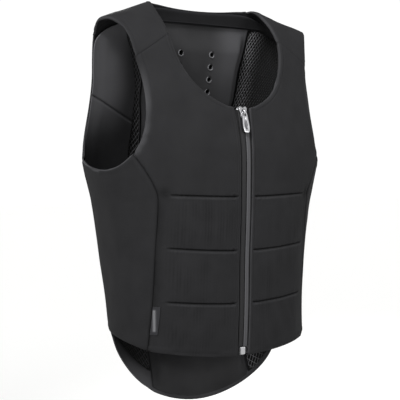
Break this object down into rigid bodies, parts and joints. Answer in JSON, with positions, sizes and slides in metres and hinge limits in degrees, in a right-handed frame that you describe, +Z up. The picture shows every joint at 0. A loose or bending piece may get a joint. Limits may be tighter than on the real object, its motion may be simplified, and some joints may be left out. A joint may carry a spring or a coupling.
{
  "type": "back protector vest",
  "caption": "Sleeveless zipped softshell vest with quilted fronts, a vented foam back protector inside, net lining and a rounded drop tail; shown worn, open at neck, arms and hem.",
  "frame": {"origin": "middle between the shoulders, at the height where the straps sit on them, in the plane of the side seams' middle", "axes": "+Z up along the body, front of the vest at -Y, +X towards the wearer's left"},
  "size_m": [0.3618, 0.2072, 0.5959],
  "materials": {
    "softshell": "matte woven stretch softshell",
    "net_lining": "open knitted net, black",
    "foam": "smooth cloth-faced foam, matte",
    "zip_tape": "satin coated zip band",
    "zip_metal": "satin cast metal",
    "label": "plain woven tab"
  },
  "bodies": {
    "vest": {"front_left": "softshell", "front_right": "softshell", "side_left": "softshell", "side_right": "softshell", "yoke_left": "softshell", "yoke_right": "softshell", "mesh_lining_left": "net_lining", "mesh_lining_right": "net_lining", "armhole_facing_left": "softshell", "armhole_facing_right": "softshell", "zip_tape_left": "zip_tape", "zip_tape_right": "zip_tape", "back_panel": "softshell", "back_protector": "foam", "neck_facing": "softshell", "zip_slider": "zip_metal", "zip_box": "zip_metal", "side_label": "label"},
    "pull": {"zip_pull": "zip_metal"}
  },
  "joints": [
    {"name": "pull_swing", "type": "hinge", "parent": "vest", "child": "pull", "pos_m": [0, -0.11019, -0.14523], "axis": [-1, 0, 0], "range_deg": [0, 160]}
  ]
}
